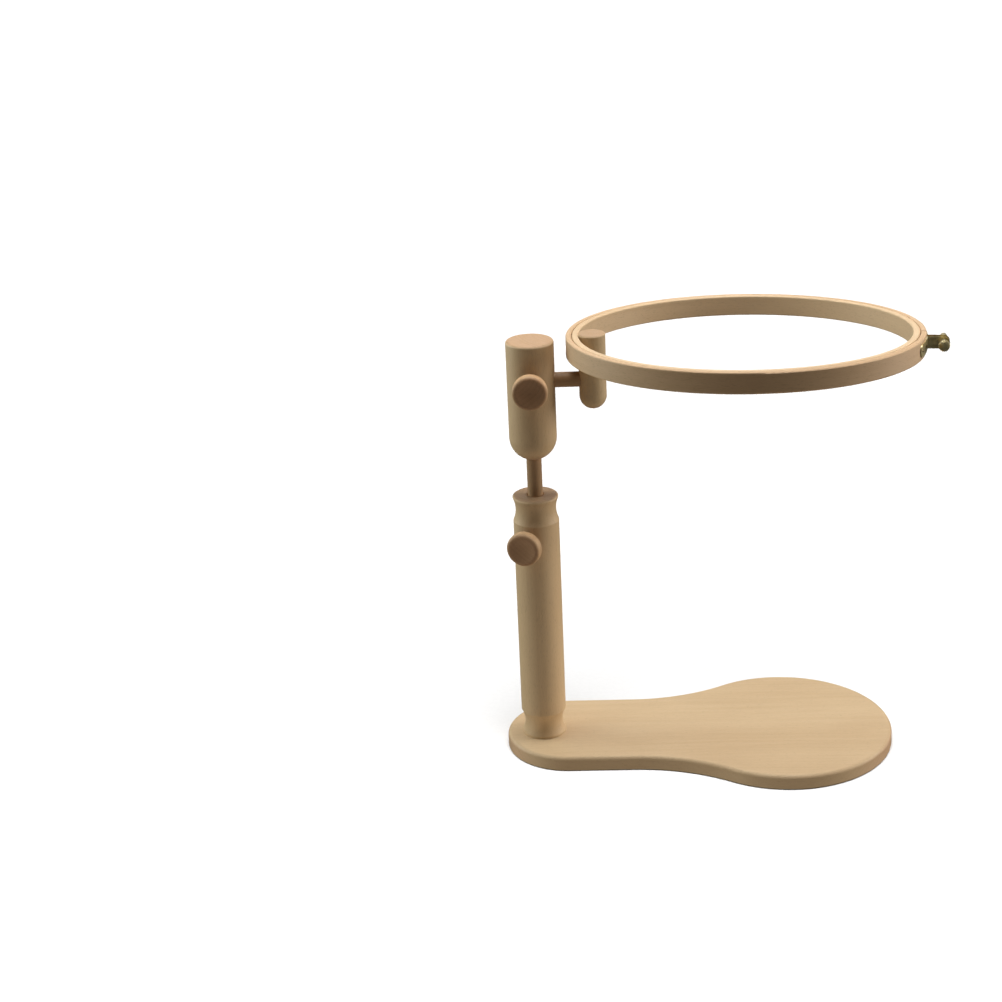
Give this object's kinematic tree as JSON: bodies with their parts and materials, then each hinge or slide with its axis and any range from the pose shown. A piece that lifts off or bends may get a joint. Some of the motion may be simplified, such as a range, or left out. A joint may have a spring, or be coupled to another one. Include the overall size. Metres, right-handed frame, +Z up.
{
  "type": "embroidery hoop on stand",
  "caption": "Round wooden embroidery hoop held out over a paddle-shaped base by a turned post, with clamping knobs for height and tilt and a brass screw clasp.",
  "frame": {"origin": "centre of the whole object's bounding box, on the plane the base stands on", "axes": "+Z up; +X from the post towards the wide end of the base and the hoop's clasp; -Y is the side the clamping knobs face"},
  "size_m": [0.3344, 0.2632, 0.349],
  "materials": {
    "board_wood": "bare sanded, satin",
    "turned_wood": "bare sanded, satin",
    "knob_wood": "bare sanded, satin",
    "dowel_wood": "bare sanded, satin",
    "bent_wood": "bare sanded, satin",
    "brass": "plated, satin",
    "steel": "zinc plated",
    "nail_steel": "dark, oxidised"
  },
  "bodies": {
    "stand": {"base_board": "board_wood", "post": "turned_wood", "post_screw": "steel", "post_bush": "brass"},
    "lower_clamp": {"lower_stud": "steel"},
    "lower_handle": {"lower_knob": "knob_wood"},
    "rod": {"extension_rod": "dowel_wood"},
    "head": {"head": "turned_wood", "head_bush": "brass"},
    "upper_clamp": {"upper_stud": "steel"},
    "upper_handle": {"upper_knob": "knob_wood"},
    "arm": {"hoop_arm": "dowel_wood"},
    "hoop": {"hoop_block": "turned_wood", "block_screws": "brass", "inner_ring": "bent_wood"},
    "band": {"outer_ring": "bent_wood", "screw_plate": "brass", "nut_plate": "brass", "threaded_barrel": "brass", "clasp_nails": "nail_steel"},
    "clasp_shaft": {"thumb_screw": "brass"},
    "clasp_handle": {"thumb_knob": "brass"}
  },
  "joints": [
    {"name": "rod_height", "type": "slide", "parent": "stand", "child": "rod", "axis": [0, 0, 1], "range_m": [-0.025, 0.08]},
    {"name": "head_swivel", "type": "hinge", "parent": "rod", "child": "head", "pos_m": [-0.13819, -0.00207, 0.243], "axis": [0, 0, 1], "continuous": true},
    {"name": "arm_reach", "type": "slide", "parent": "head", "child": "arm", "axis": [1, 0, 0], "range_m": [0, 0.01]},
    {"name": "hoop_tilt", "type": "hinge", "parent": "arm", "child": "hoop", "pos_m": [-0.09219, -0.00207, 0.3052], "axis": [1, 0, 0], "continuous": true},
    {"name": "band_lift", "type": "slide", "parent": "hoop", "child": "band", "axis": [0.0026, 0.0802, 0.9968], "range_m": [0, 0.03]},
    {"name": "lower_stud_feed", "type": "slide", "parent": "stand", "child": "lower_clamp", "axis": [-0.3173, -0.9483, 0], "range_m": [0, 0.003]},
    {"name": "lower_knob_turn", "type": "hinge", "parent": "lower_clamp", "child": "lower_handle", "pos_m": [-0.13819, -0.00207, 0.1803], "axis": [-0.3173, -0.9483, 0], "range_deg": [0, 1080]},
    {"name": "upper_stud_feed", "type": "slide", "parent": "head", "child": "upper_clamp", "axis": [0, -1, 0], "range_m": [0, 0.003]},
    {"name": "upper_knob_turn", "type": "hinge", "parent": "upper_clamp", "child": "upper_handle", "pos_m": [-0.13819, -0.00207, 0.3052], "axis": [0, -1, 0], "range_deg": [0, 1080]},
    {"name": "clasp_screw_feed", "type": "slide", "parent": "band", "child": "clasp_shaft", "axis": [-0.1392, -0.987, 0.0798], "range_m": [0, 0.0028]},
    {"name": "clasp_knob_turn", "type": "hinge", "parent": "clasp_shaft", "child": "clasp_handle", "pos_m": [0.16241, -0.01998, 0.33218], "axis": [-0.1392, -0.987, 0.0798], "range_deg": [0, 1440]}
  ],
  "couplings": [
    {"joint": "lower_knob_turn", "follows": "lower_stud_feed", "rad_per_m": 6283.2},
    {"joint": "upper_knob_turn", "follows": "upper_stud_feed", "rad_per_m": 6283.2},
    {"joint": "clasp_knob_turn", "follows": "clasp_screw_feed", "rad_per_m": 8976}
  ]
}
